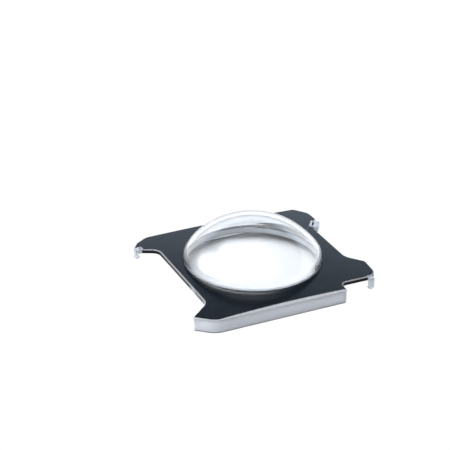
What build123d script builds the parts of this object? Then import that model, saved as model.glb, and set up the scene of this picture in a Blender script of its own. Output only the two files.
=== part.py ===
"""Clip-on lens guard: a clear domed window in a flat, black-faced frame with four horns.

Frame: the origin is on the optical axis, in the plane of the frame's underside, where the guard
meets the camera. +Z is up through the dome, +X runs along the straight front edge and +Y points
to the back. All lengths are in millimetres.
"""

import os
from math import sqrt

from build123d import *

# Driving dimensions
dome_radius = 15.3  # outside of the dome's collar
dome_rise = 8.0  # spherical cap above the collar
collar_rise = 1.1  # straight collar above the black face
dome_wall = 1.0
shoulder_round = 2.0  # where the collar turns into the cap
plate_thickness = 0.9
mask_thickness = 0.1
mask_inset = 0.25  # clear rim left showing round the black face
skirt_drop = 2.2  # from the underside to what the guard stands on
wall_thickness = 1.0  # skirt and rear rib
running_gap = 0.05  # clearance between separate pieces
edge_round = 0.2
foot_round = 0.15

# The frame's main edges
front_edge = -21.4
front_slant = 0.2  # how much further forward the front edge's left end lies
notch_start = 12.0  # where the front skirt ends and the notch begins
notch_edge = -18.1
left_waist = -17.7
right_waist = 18.6
horn_skirt_depth = 2.8  # how far back the skirt follows the front left horn
past_frame = 30.0  # further out than any of the frame's edges

# The frame's outline: corner points with the radius that rounds each, from the front left, counter-clockwise
outline_corners = [
    (-18.4, front_edge - front_slant, 4.5),
    (notch_start, front_edge, 0.8),
    (notch_start, notch_edge, 1.4),
    (21.0, notch_edge, 2.5),
    (21.6, -11.9, 1.2),
    (right_waist, -8.3, 3.5),
    (right_waist, 6.9, 4.0),
    (21.25, 10.5, 0.9),
    (21.15, 13.8, 3.0),
    (18.7, 17.0, 1.2),
    (-4.0, 18.3, 120.0),
    (-18.2, 17.85, 3.5),
    (-21.1, 16.0, 3.0),
    (-22.4, 14.1, 0.6),
    (-21.8, 13.1, 0.4),
    (left_waist, 11.2, 2.2),
    (left_waist + 0.3, -14.2, 3.4),
    (-22.3, -18.4, 0.5),
]

# The black face's front edge is bowed: its two ends and its middle
mask_front_left = (-24.0, -21.9)
mask_front_middle = (-1.0, -20.5)
mask_front_right = (15.0, -21.0)

# The dome's seat in the frame
flange_radius = 15.95
flange_thickness = 0.4
bond_thickness = 0.1
gasket_thickness = 0.4
gasket_inner_radius = 14.5
gasket_outer_radius = 15.8

# Rear rib, set in from the back edge
rib_inner_face = 16.35
rib_half_length = 12.5

# Snap claws: a root block let into the plate, a leg that hangs down and a nose at its foot
claw_leg = 0.8
claw_nose = 0.25
claw_round = 0.2
relief_gap = 0.25  # clear plastic left round a claw's root
relief_round = 0.3

# Each claw: name, middle of the outer face, heading in degrees, width, length of root, reach below the underside
claws = [
    ("claw_rear_left", (-22.55, 13.35), 180.0, 1.2, 0.9, 1.1),
    ("claw_rear_right", (20.61, 7.78), -36.4, 2.8, 1.1, 0.8),
    ("claw_front_right", (19.2, -19.2), -90.0, 1.1, 0.6, 1.7),
]

# Recess on top of each claw's root: an ejector-pin mark, or on the wide claw a slot that eases its flexing
pin_mark_radius = 0.28
recess_depth = 0.5
slot_width = 0.42
slot_end_wall = 0.5

plate_top = plate_thickness
mask_top = plate_top + mask_thickness
collar_top = mask_top + collar_rise
opening_radius = dome_radius - dome_wall
hole_radius = dome_radius + running_gap
seat_radius = flange_radius + running_gap
seat_depth = flange_thickness + bond_thickness


def frame_outline():
    """The frame's outline as a closed wire, for use inside a BuildLine block."""
    points = [(x, y) for x, y, _ in outline_corners]
    radii = [r for _, _, r in outline_corners]
    return FilletPolyline(*points, radius=radii, close=True)


def claw_floor(outer_face, heading, root):
    """Flat plane at the underside: its origin is the inner end of the claw's root, its x axis points outwards."""
    outward = Vector(1, 0, 0).rotate(Axis.Z, heading)
    inner_end = Vector(*outer_face) - outward * (root + claw_leg)
    return Plane(origin=inner_end, x_dir=outward, z_dir=(0, 0, 1))


os.makedirs("parts", exist_ok=True)
pieces = []

# Carrier frame: plate, skirt round the front edge and front left horn, rear rib, seat and claw recesses
with BuildPart() as carrier_frame:
    with BuildSketch(Plane.XY):
        with BuildLine():
            frame_outline()
        make_face()
    extrude(amount=plate_thickness)
    fillet(carrier_frame.edges().group_by(Axis.Z)[-1], edge_round)

    with BuildSketch(Plane.XY.offset(-skirt_drop)):
        with BuildLine():
            frame_outline()
        make_face()
        offset(amount=-wall_thickness, mode=Mode.SUBTRACT)
        with Locations((0, front_edge)):
            Rectangle(2 * past_frame, 2 * horn_skirt_depth, mode=Mode.INTERSECT)
    extrude(amount=skirt_drop + plate_thickness / 2)

    with BuildSketch(Plane.XY.offset(-skirt_drop)):
        with Locations((0, rib_inner_face + wall_thickness / 2)):
            SlotOverall(2 * rib_half_length, wall_thickness)
    extrude(amount=skirt_drop + plate_thickness / 2)
    fillet(carrier_frame.edges().group_by(Axis.Z)[0], foot_round)

    with BuildSketch(Plane.XY):
        Circle(hole_radius)
    extrude(amount=plate_thickness, mode=Mode.SUBTRACT)
    with BuildSketch(Plane.XY):
        Circle(seat_radius)
    extrude(amount=seat_depth, mode=Mode.SUBTRACT)

    for _, outer_face, heading, width, root, _ in claws:
        length = root + claw_leg
        with BuildSketch(claw_floor(outer_face, heading, root)):
            with Locations((length, 0)):
                Rectangle(2 * length, width + 2 * running_gap)
        extrude(amount=plate_thickness, mode=Mode.SUBTRACT)
carrier_frame.part.label = "carrier_frame"
pieces.append(carrier_frame.part)

# Dome window: flange, short collar and spherical cap of even wall, with an open straight bore below
cap_radius = (dome_radius**2 + dome_rise**2) / (2 * dome_rise)
cap_centre = collar_top + dome_rise - cap_radius
inner_cap_radius = cap_radius - dome_wall
inner_collar_top = cap_centre + sqrt(inner_cap_radius**2 - opening_radius**2)
apex = collar_top + dome_rise
with BuildPart() as dome_window:
    with BuildSketch(Plane.XZ) as dome_profile:
        with BuildLine():
            Polyline(
                (opening_radius, 0),
                (flange_radius, 0),
                (flange_radius, flange_thickness),
                (dome_radius, flange_thickness),
                (dome_radius, collar_top),
            )
            RadiusArc((dome_radius, collar_top), (0, apex), -cap_radius)
            Line((0, apex), (0, apex - dome_wall))
            RadiusArc((0, apex - dome_wall), (opening_radius, inner_collar_top), inner_cap_radius)
            Line((opening_radius, inner_collar_top), (opening_radius, 0))
        make_face()
        shoulders = [(dome_radius, collar_top), (opening_radius, inner_collar_top)]
        corners = [dome_profile.vertices().sort_by_distance(shoulder)[0] for shoulder in shoulders]
        fillet(corners, shoulder_round)
    revolve(axis=Axis.Z)
dome_window.part.label = "dome_window"
pieces.append(dome_window.part)

# Bond ring: adhesive between the dome's flange and the seat's ceiling
with BuildPart() as dome_bond_ring:
    with BuildSketch(Plane.XY.offset(flange_thickness)):
        Circle(flange_radius)
        Circle(hole_radius, mode=Mode.SUBTRACT)
    extrude(amount=bond_thickness)
dome_bond_ring.part.label = "dome_bond_ring"
pieces.append(dome_bond_ring.part)

# Mask film: the black face, inset from the frame's edge, bowed at the front, relieved round each claw's root
with BuildPart() as mask_film:
    with BuildSketch(Plane.XY.offset(plate_top)):
        with BuildLine():
            frame_outline()
        make_face()
        offset(amount=-mask_inset)
        with BuildSketch(mode=Mode.INTERSECT):
            with BuildLine():
                ThreePointArc(mask_front_left, mask_front_middle, mask_front_right)
                Polyline(
                    mask_front_right,
                    (past_frame, mask_front_right[1]),
                    (past_frame, past_frame),
                    (mask_front_left[0], past_frame),
                    mask_front_left,
                )
            make_face()
        Circle(hole_radius, mode=Mode.SUBTRACT)
        for _, outer_face, heading, width, root, _ in claws:
            length = root + claw_leg
            inner_end = claw_floor(outer_face, heading, root).origin
            with Locations(Location((inner_end.X, inner_end.Y, 0), (0, 0, heading))):
                with Locations((length, 0)):
                    RectangleRounded(
                        2 * (length + relief_gap), width + 2 * relief_gap, relief_round, mode=Mode.SUBTRACT
                    )
    extrude(amount=mask_thickness)
mask_film.part.label = "mask_film"
pieces.append(mask_film.part)

# Seal gasket: soft ring under the dome's flange, squeezed against the camera
with BuildPart() as seal_gasket:
    with BuildSketch(Plane.XY.offset(-gasket_thickness)):
        Circle(gasket_outer_radius)
        Circle(gasket_inner_radius, mode=Mode.SUBTRACT)
    extrude(amount=gasket_thickness)
seal_gasket.part.label = "seal_gasket"
pieces.append(seal_gasket.part)


def build_claw(name, outer_face, heading, width, root, reach):
    """A snap claw: root block flush with the plate, hanging leg, and a nose that points inwards."""
    floor = claw_floor(outer_face, heading, root)
    length = root + claw_leg
    with BuildPart() as claw:
        with BuildSketch(Plane(origin=floor.origin, x_dir=floor.x_dir, z_dir=floor.x_dir.cross(floor.z_dir))):
            with BuildLine():
                Polyline(
                    (0, 0),
                    (root, 0),
                    (root, 2 * claw_nose - reach),
                    (root - claw_nose, 1.4 * claw_nose - reach),
                    (root - claw_nose, claw_nose - reach),
                    (root, -reach),
                    (length, -reach),
                    (length, plate_thickness),
                    (0, plate_thickness),
                    close=True,
                )
            make_face()
        extrude(amount=width / 2, both=True)
        outer = claw.faces().sort_by(Axis((0, 0, 0), floor.x_dir))[-1]
        fillet(outer.edges(), claw_round)
        with BuildSketch(floor.offset(plate_thickness)):
            with Locations((root / 2, 0)):
                slot_length = width - 2 * slot_end_wall
                if slot_length > 2 * pin_mark_radius:
                    SlotOverall(slot_length, slot_width, rotation=90)
                else:
                    Circle(pin_mark_radius)
        extrude(amount=-recess_depth, mode=Mode.SUBTRACT)
    claw.part.label = name
    return claw.part


for name, outer_face, heading, width, root, reach in claws:
    pieces.append(build_claw(name, outer_face, heading, width, root, reach))

for piece in pieces:
    export_step(piece, f"parts/{piece.label}.step")
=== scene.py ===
"""Looks of the clip-on lens guard: a clear domed window in a clear frame with a glossy black face.

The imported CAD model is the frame. The dome and the black face are rebuilt here as smoother pieces; the
clear moulding, its claws, the bond ring and the seal keep their CAD meshes and get their materials.
Metres throughout, with the origin on the optical axis in the plane of the frame's underside.
"""

import math
from collections import namedtuple

import bmesh
import bpy
from mathutils import Matrix, Vector


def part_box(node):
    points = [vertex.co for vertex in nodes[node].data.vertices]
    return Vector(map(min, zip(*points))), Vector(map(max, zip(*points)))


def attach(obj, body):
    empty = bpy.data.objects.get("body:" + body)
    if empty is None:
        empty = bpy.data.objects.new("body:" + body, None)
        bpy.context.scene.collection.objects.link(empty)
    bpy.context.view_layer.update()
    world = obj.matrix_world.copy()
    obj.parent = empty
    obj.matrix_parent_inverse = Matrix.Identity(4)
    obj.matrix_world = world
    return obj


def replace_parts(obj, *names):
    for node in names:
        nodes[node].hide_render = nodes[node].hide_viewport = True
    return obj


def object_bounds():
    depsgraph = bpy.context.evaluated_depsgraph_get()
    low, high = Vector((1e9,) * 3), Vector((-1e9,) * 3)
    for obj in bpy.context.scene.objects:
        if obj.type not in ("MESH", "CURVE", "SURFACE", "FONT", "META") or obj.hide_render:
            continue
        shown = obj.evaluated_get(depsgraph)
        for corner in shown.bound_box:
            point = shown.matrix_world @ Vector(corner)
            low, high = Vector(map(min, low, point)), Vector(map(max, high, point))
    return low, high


MM = 0.001
NOISE_SPREAD = (0.3, 0.7)  # nearly all of a noise texture's values lie between these

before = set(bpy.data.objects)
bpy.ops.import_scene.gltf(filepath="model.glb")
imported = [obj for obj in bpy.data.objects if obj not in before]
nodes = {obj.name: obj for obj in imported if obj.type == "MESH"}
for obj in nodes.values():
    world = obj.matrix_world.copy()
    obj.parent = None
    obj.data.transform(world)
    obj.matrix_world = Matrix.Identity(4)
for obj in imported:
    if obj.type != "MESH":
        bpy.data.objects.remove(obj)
cad_low, cad_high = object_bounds()

# Heights and radii read from the frame
plate_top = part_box("mask_film")[0].z
mask_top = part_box("mask_film")[1].z
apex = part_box("dome_window")[1].z
flange_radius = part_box("dome_window")[1].x
flange_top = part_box("dome_bond_ring")[0].z
floor_level = cad_low.z - 0.01 * MM  # just clear of the skirt's foot

# The dome's own dimensions, as in the CAD
DOME_RADIUS = 15.3 * MM
DOME_RISE = 8.0 * MM
DOME_WALL = 1.0 * MM
BORE_RADIUS = DOME_RADIUS - DOME_WALL
SHOULDER_ROUND = 2.0 * MM
ROUND_STEPS = 256  # facets round the dome
SHARP_ANGLE = math.radians(30.0)  # edges that turn by more than this stay crisp
FILM_BITE = 0.03 * MM  # how far the black face is let into the plate

# Clear plastic
POLYCARBONATE_IOR = 1.585
FULL_SHINE = 0.5  # the shader's specular level for an unchanged surface
RIM_RANGE = (0.74, 0.87)  # where the painted rim shade starts and is full: 0 is face on and 1 is edge on
POLISH_SCALE = 400.0  # per metre: the polish changes over a few millimetres
SMOKE_COLOUR = (0.15, 0.40, 0.60)
SMOKE_DENSITY = 60.0  # per metre
CLEAR = (1.0, 1.0, 1.0)
CLAW_TINT = (0.72, 0.76, 0.82)
CLAW_MILKINESS = 0.4
MOULDING_RIM_SHADE = (0.5, 0.53, 0.58)  # painted shade: the tint of a wall seen edge on, which darkens it to an outline
# painted shade for the claws' and the dome's walls seen edge on
CLAW_RIM_SHADE = (0.4, 0.43, 0.48)
DOME_RIM_SHADE = (0.02, 0.022, 0.026)

# Finishes on parts of the clear pieces, and painted highlight, shade and reflection on some of them
UP = (0.0, 0.0, 1.0)
FRONT = (-0.15, -1.0, 0.0)  # leans to the left, to take in the front left horn but not the notch
FROM_HORN = (0.6, 1.0, 0.0)  # away from the front left horn
MILK = (0.87, 0.89, 0.93)  # the satin front wall
PAINTED_FOOT_SHADE = (0.16, 0.17, 0.19)  # painted shade along the lower edge of the front wall, where it stands on the floor
PAINTED_EDGE_BLACK = (0.004, 0.005, 0.007)  # painted reflection: black on the plate's side walls, for the black face seen inside the clear plate
PAINTED_LIP_HIGHLIGHT = (0.33, 0.345, 0.37)  # painted highlight: light grey on the plate's rounded top edge
LIP_FOOT = plate_top - 0.20 * MM  # the plate's top edge is rounded from here up
LIP_BLEND = 0.04 * MM
BORE_TINT = (0.85, 0.87, 0.91)  # the satin bore wall
BORE_SATIN_TOP = 1.2 * MM  # above the frame's underside
# painted shade in the wide claw's slot
PAINTED_SLOT_SHADE = (0.03, 0.035, 0.045)
SLOT_PLACE = (19.523 * MM, 8.581 * MM, plate_top)  # the middle of the wide claw's slot, on the plate's top
SLOT_HEADING = math.radians(-36.4)
SLOT_REACH = (0.42 * MM, 1.60 * MM, 1.00 * MM)  # an ellipsoid round the slot: across, along and down

# Studio
FLOOR_HALF_WIDTH = 3.0  # metres
FLOOR_WHITE = (0.8, 0.8, 0.8)  # the floor as it lights the guard and shows through it
PAPER_WHITE = 1.02  # what the camera sees directly of the floor and the backdrop
PEAK = 5.0  # the brightest radiance in the sky
COOL = (0.68, 0.82, 1.0)
NEUTRAL = (0.96, 0.97, 1.0)
KEY_AZIMUTH = math.radians(-60.0)  # the softbox stands to the left of the camera
SIDE_AZIMUTH = math.radians(-92.0)  # the lower panel stands at the guard's left

# Camera
CAMERA_AZIMUTH = math.radians(-24.84)
CAMERA_ELEVATION = math.radians(27.2)
CAMERA_ROLL = math.radians(0.45)
CAMERA_TARGET = Vector((0.70 * MM, 15.99 * MM, mask_top))
CAMERA_DISTANCE = 308.75 * MM
CAMERA_LENS = 107.84  # millimetres, for a sensor 36 mm wide


# ---------------------------------------------------------------- geometry helpers


def add_mesh(name, bm, material, body="frame"):
    """Turns a bmesh into a shown piece that rides on a body, or on none."""
    bmesh.ops.recalc_face_normals(bm, faces=bm.faces)
    mesh = bpy.data.meshes.new(name)
    bm.to_mesh(mesh)
    bm.free()
    for face in mesh.polygons:
        face.use_smooth = True
    mesh.set_sharp_from_angle(angle=SHARP_ANGLE)
    mesh.materials.append(material)
    piece = bpy.data.objects.new(name, mesh)
    bpy.context.scene.collection.objects.link(piece)
    if body:
        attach(piece, body)
    return piece


def ring_of_verts(bm, radius, height):
    """The vertices of a circle round the optical axis, or the one vertex on it."""
    if radius < 1e-9:
        return [bm.verts.new((0, 0, height))]
    ring = []
    for step in range(ROUND_STEPS):
        angle = 2 * math.pi * step / ROUND_STEPS
        ring.append(bm.verts.new((radius * math.cos(angle), radius * math.sin(angle), height)))
    return ring


def revolve(profile):
    """A bmesh of a closed profile of (radius, height) points turned round the optical axis."""
    bm = bmesh.new()
    rings = [ring_of_verts(bm, radius, height) for radius, height in profile]
    for lower, upper in zip(rings, rings[1:] + rings[:1]):
        for step in range(ROUND_STEPS):
            after = (step + 1) % ROUND_STEPS
            corners = []
            for vert in (
                lower[step % len(lower)],
                lower[after % len(lower)],
                upper[after % len(upper)],
                upper[step % len(upper)],
            ):
                if vert not in corners:
                    corners.append(vert)
            if len(corners) > 2:
                bm.faces.new(corners)
    return bm


def arc(centre, radius, start_angle, end_angle, steps):
    """(radius, height) points on a circle; angles are from straight up, in radians."""
    points = []
    for step in range(steps + 1):
        angle = start_angle + (end_angle - start_angle) * step / steps
        points.append((centre[0] + radius * math.sin(angle), centre[1] + radius * math.cos(angle)))
    return points


# ---------------------------------------------------------------- node helpers


def new_material(name):
    """An empty node material: returns it with its nodes, a link function and its output."""
    material = bpy.data.materials.new(name)
    material.use_nodes = True
    tree = material.node_tree
    tree.nodes.clear()
    output = tree.nodes.new("ShaderNodeOutputMaterial")
    return material, tree.nodes, tree.links.new, output


def mapped(node_list, link, value, start, end, low=0.0, high=1.0, interpolation="LINEAR"):
    """Goes from low to high as a value goes from start to end; start may be the larger of the two."""
    span = node_list.new("ShaderNodeMapRange")
    span.interpolation_type = interpolation
    span.inputs["From Min"].default_value = start
    span.inputs["From Max"].default_value = end
    span.inputs["To Min"].default_value = low
    span.inputs["To Max"].default_value = high
    link(value, span.inputs["Value"])
    return span.outputs["Result"]


def noise_between(node_list, link, scale, low, high, detail=3.0):
    """A soft noise in object space that runs from low to high; scale is its waves per metre."""
    coordinates = node_list.new("ShaderNodeTexCoord")
    noise = node_list.new("ShaderNodeTexNoise")
    noise.inputs["Scale"].default_value = scale
    noise.inputs["Detail"].default_value = detail
    link(coordinates.outputs["Object"], noise.inputs["Vector"])
    return mapped(node_list, link, noise.outputs["Fac"], *NOISE_SPREAD, low, high)


def surface_bump(node_list, link, scale, height):
    """A very shallow waviness, as moulded plastic has."""
    waves = noise_between(node_list, link, scale, low=0.0, high=1.0, detail=2.0)
    bump = node_list.new("ShaderNodeBump")
    bump.inputs["Distance"].default_value = height
    bump.inputs["Strength"].default_value = 1.0
    link(waves, bump.inputs["Height"])
    return bump.outputs["Normal"]


def vector_math(node_list, link, operation, first, second=None):
    """A vector operation on a socket, and where it takes one a fixed second vector."""
    step = node_list.new("ShaderNodeVectorMath")
    step.operation = operation
    link(first, step.inputs[0])
    if second:
        step.inputs[1].default_value = second
    return step.outputs


def ramp_along(node_list, link, direction, start, end):
    """0 at start and 1 at end, measured along a direction from the origin."""
    coordinates = node_list.new("ShaderNodeTexCoord")
    along = vector_math(node_list, link, "DOT_PRODUCT", coordinates.outputs["Object"], direction)
    return mapped(node_list, link, along["Value"], start, end, interpolation="SMOOTHSTEP")


def past_radius(node_list, link, start, end):
    """0 at the start radius and 1 at the end radius, measured from the optical axis."""
    coordinates = node_list.new("ShaderNodeTexCoord")
    flat = vector_math(node_list, link, "MULTIPLY", coordinates.outputs["Object"], (1.0, 1.0, 0.0))
    radius = vector_math(node_list, link, "LENGTH", flat["Vector"])
    return mapped(node_list, link, radius["Value"], start, end)


def mixed(node_list, link, factor, low, high, kind="RGBA"):
    """Goes from low to high as factor goes from 0 to 1; low and high are values or sockets."""
    blend = node_list.new("ShaderNodeMix")
    blend.data_type = kind
    link(factor, blend.inputs["Factor"])
    for socket, value in (("A", low), ("B", high)):
        if isinstance(value, tuple):
            blend.inputs[socket].default_value = (*value, 1.0)
        elif isinstance(value, float):
            blend.inputs[socket].default_value = value
        else:
            link(value, blend.inputs[socket])
    return blend.outputs["Result"]


def product(node_list, link, first, *others):
    """The product of some sockets."""
    for other in others:
        times = node_list.new("ShaderNodeMath")
        times.operation = "MULTIPLY"
        link(first, times.inputs[0])
        link(other, times.inputs[1])
        first = times.outputs["Value"]
    return first


def apart_for_camera(node_list, link, lighting, direct):
    """One shader for what the camera sees directly and another for all other light."""
    path = node_list.new("ShaderNodeLightPath")
    blend = node_list.new("ShaderNodeMixShader")
    link(path.outputs["Is Camera Ray"], blend.inputs["Fac"])
    link(lighting, blend.inputs[1])
    link(direct, blend.inputs[2])
    return blend.outputs["Shader"]


# ---------------------------------------------------------------- where a finish or painted light lies


def on_front_wall(node_list, link):
    """The front skirt and the front left horn's outside."""
    return ramp_along(node_list, link, FRONT, start=16.5 * MM, end=18.5 * MM)


def on_lower_edge(node_list, link):
    """The lower edge of the front skirt, which a painted shade darkens."""
    low = ramp_along(node_list, link, UP, start=cad_low.z + 0.4 * MM, end=cad_low.z + 0.2 * MM)
    return product(node_list, link, low, on_front_wall(node_list, link))


def off_axis(node_list, link):
    """The plate outside the dome and its stepped seat."""
    return past_radius(node_list, link, start=flange_radius + 0.35 * MM, end=flange_radius + 0.55 * MM)


def on_bore_wall(node_list, link):
    """The straight bore under the dome."""
    low = ramp_along(node_list, link, UP, start=BORE_SATIN_TOP, end=BORE_SATIN_TOP - 0.2 * MM)
    wall = past_radius(node_list, link, start=BORE_RADIUS + 0.3 * MM, end=BORE_RADIUS + 0.1 * MM)
    return product(node_list, link, low, wall)


def on_lip(node_list, link):
    """The plate's top edge, beside the black face, with a painted highlight for the light that it catches."""
    high = ramp_along(node_list, link, UP, start=LIP_FOOT, end=LIP_FOOT + LIP_BLEND)
    return product(node_list, link, high, off_axis(node_list, link))


def on_plate_edge(node_list, link):
    """The plate's side walls under their lip, but not the skirt, the front left horn or the bore, which a
    painted reflection of the black face makes black.
    """
    above_foot = ramp_along(node_list, link, UP, start=0.02 * MM, end=0.06 * MM)
    below_lip = ramp_along(node_list, link, UP, start=LIP_FOOT + LIP_BLEND, end=LIP_FOOT)
    clear_of_horn = ramp_along(node_list, link, FROM_HORN, start=-20.0 * MM, end=-16.0 * MM)
    clear_of_skirt = ramp_along(node_list, link, FRONT, start=17.0 * MM, end=16.5 * MM)
    outside = off_axis(node_list, link)
    return product(node_list, link, above_foot, below_lip, clear_of_horn, clear_of_skirt, outside)


def in_slot(node_list, link):
    """The slot in the wide claw's root, which a painted shade darkens."""
    coordinates = node_list.new("ShaderNodeTexCoord")
    offset = vector_math(node_list, link, "SUBTRACT", coordinates.outputs["Object"], SLOT_PLACE)
    turned = node_list.new("ShaderNodeVectorRotate")
    turned.rotation_type = "Z_AXIS"
    turned.inputs["Angle"].default_value = -SLOT_HEADING
    link(offset["Vector"], turned.inputs["Vector"])
    shrunk = vector_math(node_list, link, "DIVIDE", turned.outputs["Vector"], SLOT_REACH)
    distance = vector_math(node_list, link, "LENGTH", shrunk["Vector"])
    inside = mapped(node_list, link, distance["Value"], start=1.0, end=0.9)
    below_top = ramp_along(node_list, link, UP, start=plate_top - 0.01 * MM, end=plate_top - 0.03 * MM)
    return product(node_list, link, inside, below_top)


# ---------------------------------------------------------------- materials

# A finish, or a painted highlight, shade or reflection, on part of a clear piece: where it lies, as a
# function that makes its mask, its tint and roughness, the share of light that passes through it, and its
# specular level
Finish = namedtuple("Finish", "where tint roughness passing shine")


def clear_plastic(name, polish, body, painted_rim_shade, milkiness=0.0, rim_shine=FULL_SHINE, finishes=()):
    """Clear polycarbonate with a faint smoke in its depth.

    polish is the lowest and the highest roughness. The rim colour is a painted shade, laid where the wall is
    seen edge on to darken it to an outline, and rim_shine the specular level there. milkiness is the share of
    light that scatters instead of passing through.
    """
    material, node_list, link, output = new_material(name)
    volume = node_list.new("ShaderNodeVolumeAbsorption")
    volume.inputs["Color"].default_value = (*SMOKE_COLOUR, 1.0)
    volume.inputs["Density"].default_value = SMOKE_DENSITY
    link(volume.outputs["Volume"], output.inputs["Volume"])
    shader = node_list.new("ShaderNodeBsdfPrincipled")
    shader.inputs["IOR"].default_value = POLYCARBONATE_IOR
    shader.inputs["Transmission Weight"].default_value = 1.0 - milkiness
    view_angle = node_list.new("ShaderNodeLayerWeight")
    view_angle.inputs["Blend"].default_value = 0.5
    rim = mapped(node_list, link, view_angle.outputs["Facing"], *RIM_RANGE, interpolation="SMOOTHSTEP")
    # painted shade: the colour goes towards the rim colour where the wall is seen edge on
    tint = mixed(node_list, link, rim, body, painted_rim_shade)
    roughness = noise_between(node_list, link, POLISH_SCALE, *polish)
    passing = 1.0 - milkiness
    shine = FULL_SHINE
    if rim_shine < FULL_SHINE:
        shine = mixed(node_list, link, rim, FULL_SHINE, rim_shine, "FLOAT")
    for finish in finishes:
        mask = finish.where(node_list, link)
        tint = mixed(node_list, link, mask, tint, finish.tint)
        roughness = mixed(node_list, link, mask, roughness, finish.roughness, "FLOAT")
        passing = mixed(node_list, link, mask, passing, finish.passing, "FLOAT")
        shine = mixed(node_list, link, mask, shine, finish.shine, "FLOAT")
    for value, socket in ((passing, "Transmission Weight"), (shine, "Specular IOR Level")):
        if not isinstance(value, float):
            link(value, shader.inputs[socket])
    link(tint, shader.inputs["Base Color"])
    link(roughness, shader.inputs["Roughness"])
    link(shader.outputs["BSDF"], output.inputs["Surface"])
    return material


def black_gloss(name):
    """The glossy black face: a deep blue-black, very slightly wavy."""
    material, node_list, link, output = new_material(name)
    shader = node_list.new("ShaderNodeBsdfPrincipled")
    shader.inputs["Base Color"].default_value = (0.005, 0.0075, 0.011, 1.0)
    shader.inputs["IOR"].default_value = 1.5
    link(noise_between(node_list, link, scale=300.0, low=0.13, high=0.17), shader.inputs["Roughness"])
    link(surface_bump(node_list, link, scale=180.0, height=0.002 * MM), shader.inputs["Normal"])
    link(shader.outputs["BSDF"], output.inputs["Surface"])
    return material


def soft_silicone(name):
    """Translucent soft silicone with a satin skin."""
    material, node_list, link, output = new_material(name)
    shader = node_list.new("ShaderNodeBsdfPrincipled")
    shader.inputs["Base Color"].default_value = (0.72, 0.74, 0.77, 1.0)
    shader.inputs["IOR"].default_value = 1.41
    shader.inputs["Transmission Weight"].default_value = 0.5
    link(noise_between(node_list, link, scale=900.0, low=0.35, high=0.5), shader.inputs["Roughness"])
    link(shader.outputs["BSDF"], output.inputs["Surface"])
    return material


def claw_material(name, finishes=()):
    """Clear plastic as on the small claws, a little milky and less polished."""
    return clear_plastic(
        name,
        polish=(0.08, 0.14),
        body=CLAW_TINT,
        painted_rim_shade=CLAW_RIM_SHADE,
        milkiness=CLAW_MILKINESS,
        finishes=finishes,
    )


# The moulding's satin front wall, with a painted highlight on the lip, a painted reflection on the side walls
# and painted shade along the skirt's foot
moulding_finishes_and_painted_light = (
    # painted highlight on the plate's top edge
    Finish(on_lip, PAINTED_LIP_HIGHLIGHT, roughness=0.3, passing=0.3, shine=0.5),
    # painted reflection: the side walls black, for the black face seen inside the clear plate
    Finish(on_plate_edge, PAINTED_EDGE_BLACK, roughness=0.3, passing=0.0, shine=0.08),
    Finish(on_front_wall, MILK, roughness=0.45, passing=0.66, shine=0.5),
    # painted shade along the skirt's foot
    Finish(on_lower_edge, PAINTED_FOOT_SHADE, roughness=0.45, passing=0.6, shine=0.5),
)
bore_finish = Finish(on_bore_wall, BORE_TINT, roughness=0.4, passing=0.5, shine=0.5)
# painted shade: the slot darkened
slot_painted_shade = Finish(in_slot, PAINTED_SLOT_SHADE, roughness=0.3, passing=0.2, shine=0.2)

moulding = clear_plastic(
    "clear_moulding", polish=(0.0, 0.015), body=CLEAR, painted_rim_shade=MOULDING_RIM_SHADE, finishes=moulding_finishes_and_painted_light
)
claw_plastic = claw_material("clear_claws")
slotted_claw = claw_material("clear_claw_slotted", finishes=(slot_painted_shade,))
optic = clear_plastic(
    "clear_optic", polish=(0.0, 0.008), body=CLEAR, painted_rim_shade=DOME_RIM_SHADE, rim_shine=0.05, finishes=(bore_finish,)
)
bond = clear_plastic("bond", polish=(0.02, 0.08), body=CLEAR, painted_rim_shade=MOULDING_RIM_SHADE)
black = black_gloss("black_mask")
silicone = soft_silicone("soft_seal")


# ---------------------------------------------------------------- pieces

# The CAD meshes that stay
for name, material in {
    "carrier_frame": moulding,
    "claw_rear_left": claw_plastic,
    "claw_rear_right": slotted_claw,
    "claw_front_right": claw_plastic,
    "dome_bond_ring": bond,
    "seal_gasket": silicone,
}.items():
    nodes[name].data.materials.clear()
    nodes[name].data.materials.append(material)


def shoulder_and_cap(wall_radius, cap_centre, cap_radius):
    """One skin of the dome from the top of its straight wall, over the rounded shoulder, to the axis."""
    shoulder_radius = wall_radius - SHOULDER_ROUND
    shoulder_rise = math.sqrt((cap_radius - SHOULDER_ROUND) ** 2 - shoulder_radius**2)
    meeting_angle = math.atan2(shoulder_radius, shoulder_rise)
    shoulder_centre = (shoulder_radius, cap_centre + shoulder_rise)
    shoulder = arc(shoulder_centre, SHOULDER_ROUND, math.pi / 2, meeting_angle, steps=16)
    cap = arc((0.0, cap_centre), cap_radius, meeting_angle, 0.0, steps=72)
    return shoulder + cap[1:]


def build_dome():
    """The domed window: flange, collar and spherical cap of even wall, turned smooth."""
    cap_radius = (DOME_RADIUS**2 + DOME_RISE**2) / (2 * DOME_RISE)
    cap_centre = apex - cap_radius
    outside = shoulder_and_cap(DOME_RADIUS, cap_centre, cap_radius)
    inside = shoulder_and_cap(BORE_RADIUS, cap_centre, cap_radius - DOME_WALL)
    foot = [(BORE_RADIUS, 0.0), (flange_radius, 0.0), (flange_radius, flange_top), (DOME_RADIUS, flange_top)]
    profile = foot + outside + inside[::-1]
    return add_mesh("dome_shell", revolve(profile), optic)


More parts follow.
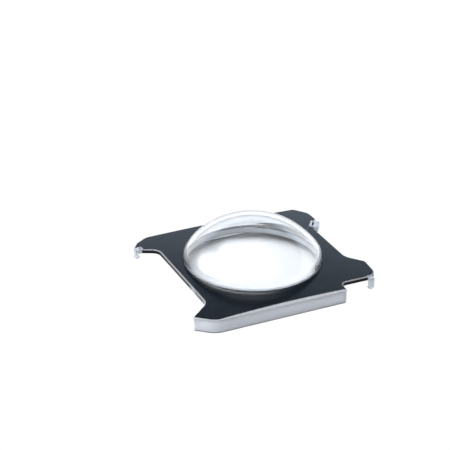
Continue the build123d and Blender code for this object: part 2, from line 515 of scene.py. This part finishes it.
def build_mask_face():
    """The black face: the CAD film let a little way into the plate, so that nothing shows between the two."""
    middle = (plate_top + mask_top) / 2
    film = nodes["mask_film"].data
    bm = bmesh.new()
    corners = []
    for vert in film.vertices:
        height = vert.co.z if vert.co.z > middle else vert.co.z - FILM_BITE
        corners.append(bm.verts.new((vert.co.x, vert.co.y, height)))
    for face in film.polygons:
        bm.faces.new([corners[index] for index in face.vertices])
    bmesh.ops.remove_doubles(bm, verts=bm.verts, dist=0.001 * MM)
    return add_mesh("mask_face", bm, black)


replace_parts(build_dome(), "dome_window")
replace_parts(build_mask_face(), "mask_film")


# ---------------------------------------------------------------- floor, light and camera


def build_floor():
    """A plain white floor, much larger than the guard. Seen directly it is evenly lit white paper."""
    bm = bmesh.new()
    bmesh.ops.create_grid(bm, x_segments=1, y_segments=1, size=FLOOR_HALF_WIDTH)
    material, node_list, link, output = new_material("white_floor")
    paper = node_list.new("ShaderNodeBsdfDiffuse")
    paper.inputs["Color"].default_value = (*FLOOR_WHITE, 1.0)
    backlit = node_list.new("ShaderNodeEmission")
    backlit.inputs["Strength"].default_value = PAPER_WHITE
    seen = apart_for_camera(node_list, link, paper.outputs["BSDF"], backlit.outputs["Emission"])
    link(seen, output.inputs["Surface"])
    floor = add_mesh("floor", bm, material, body=None)
    floor.location.z = floor_level


def build_world():
    """Soft studio light, all of it from the sky.

    Behind the guard a low bright backdrop ends under a dark band, which gives the black face its gradient.
    On the key light's side a broad softbox stands high, and beside it a panel reaches lower down. The
    camera itself sees plain white.
    """
    world = bpy.data.worlds.new("studio")
    bpy.context.scene.world = world
    world.use_nodes = True
    tree = world.node_tree
    tree.nodes.clear()
    node_list, link = tree.nodes, tree.links.new
    output = node_list.new("ShaderNodeOutputWorld")
    direction = node_list.new("ShaderNodeTexCoord").outputs["Generated"]
    split = node_list.new("ShaderNodeSeparateXYZ")
    link(direction, split.inputs["Vector"])

    def by_height(*stops):
        """Radiance by height; each stop is an elevation in degrees, a radiance and a colour."""
        ramp = node_list.new("ShaderNodeValToRGB")
        ramp.color_ramp.interpolation = "EASE"
        elements = ramp.color_ramp.elements
        while len(elements) < len(stops):
            elements.new(0.5)
        for element, (elevation, radiance, colour) in zip(elements, stops):
            element.position = math.sin(math.radians(elevation))
            element.color = (*[radiance / PEAK * part for part in colour], 1.0)
        link(split.outputs["Z"], ramp.inputs["Fac"])
        return ramp.outputs["Color"]

    def towards(azimuth, start, end):
        """0 at start and 1 at end, which are cosines of the angle between a direction and an azimuth."""
        heading = (math.sin(azimuth), -math.cos(azimuth), 0.0)
        side = vector_math(node_list, link, "DOT_PRODUCT", direction, heading)
        return mapped(node_list, link, side["Value"], start, end, interpolation="SMOOTHSTEP")

    backdrop = by_height(
        (0.0, 1.2, NEUTRAL),
        (21.0, 1.15, NEUTRAL),
        (26.2, 1.3, COOL),
        (30.4, 0.04, COOL),
        (52.0, 0.05, NEUTRAL),
        (64.0, 0.4, NEUTRAL),
        (76.0, 0.9, NEUTRAL),
        (90.0, 2.4, NEUTRAL),
    )
    softbox = by_height(
        (0.0, 0.15, NEUTRAL),
        (25.0, 0.15, NEUTRAL),
        (44.0, 0.3, NEUTRAL),
        (56.0, 3.8, NEUTRAL),
        (76.0, 3.8, NEUTRAL),
        (90.0, 2.4, NEUTRAL),
    )
    side_panel = by_height(
        (0.0, 0.15, NEUTRAL),
        (18.0, 0.3, NEUTRAL),
        (30.0, 5.0, NEUTRAL),
        (52.0, 5.0, NEUTRAL),
        (76.0, 3.8, NEUTRAL),
        (90.0, 2.4, NEUTRAL),
    )
    sky = mixed(node_list, link, towards(KEY_AZIMUTH, start=-0.3, end=0.3), backdrop, softbox)
    sky = mixed(node_list, link, towards(SIDE_AZIMUTH, start=0.45, end=0.7), sky, side_panel)
    light = node_list.new("ShaderNodeBackground")
    light.inputs["Strength"].default_value = PEAK
    link(sky, light.inputs["Color"])
    paper = node_list.new("ShaderNodeBackground")
    paper.inputs["Color"].default_value = (1.0, 1.0, 1.0, 1.0)
    paper.inputs["Strength"].default_value = PAPER_WHITE
    seen = apart_for_camera(node_list, link, light.outputs["Background"], paper.outputs["Background"])
    link(seen, output.inputs["Surface"])


def build_camera():
    """The camera of the product shot: from the front left, looking down, with a long lens."""
    level = math.cos(CAMERA_ELEVATION)
    back = Vector(
        (
            math.sin(CAMERA_AZIMUTH) * level,
            -math.cos(CAMERA_AZIMUTH) * level,
            math.sin(CAMERA_ELEVATION),
        )
    )
    right = Vector((math.cos(CAMERA_AZIMUTH), math.sin(CAMERA_AZIMUTH), 0.0))
    up = back.cross(right)
    tilted_right = right * math.cos(CAMERA_ROLL) + up * math.sin(CAMERA_ROLL)
    tilted_up = up * math.cos(CAMERA_ROLL) - right * math.sin(CAMERA_ROLL)
    data = bpy.data.cameras.new("camera")
    data.sensor_width = 36.0
    data.lens = CAMERA_LENS
    data.clip_start = 0.01
    data.clip_end = 10.0
    camera = bpy.data.objects.new("camera", data)
    bpy.context.scene.collection.objects.link(camera)
    rotation = Matrix((tilted_right, tilted_up, back)).transposed()
    place = CAMERA_TARGET + back * CAMERA_DISTANCE
    camera.matrix_world = Matrix.Translation(place) @ rotation.to_4x4()
    bpy.context.scene.camera = camera


build_floor()
build_world()
build_camera()

# Clear plastic in front of clear plastic needs many bounces
scene = bpy.context.scene
scene.view_settings.view_transform = "Standard"
scene.view_settings.look = "None"
scene.cycles.use_denoising = True
scene.cycles.max_bounces = 24
scene.cycles.transmission_bounces = 20
scene.cycles.transparent_max_bounces = 16
scene.cycles.glossy_bounces = 12
scene.cycles.diffuse_bounces = 6
scene.cycles.caustics_reflective = True
scene.cycles.caustics_refractive = True
scene.cycles.blur_glossy = 0.0
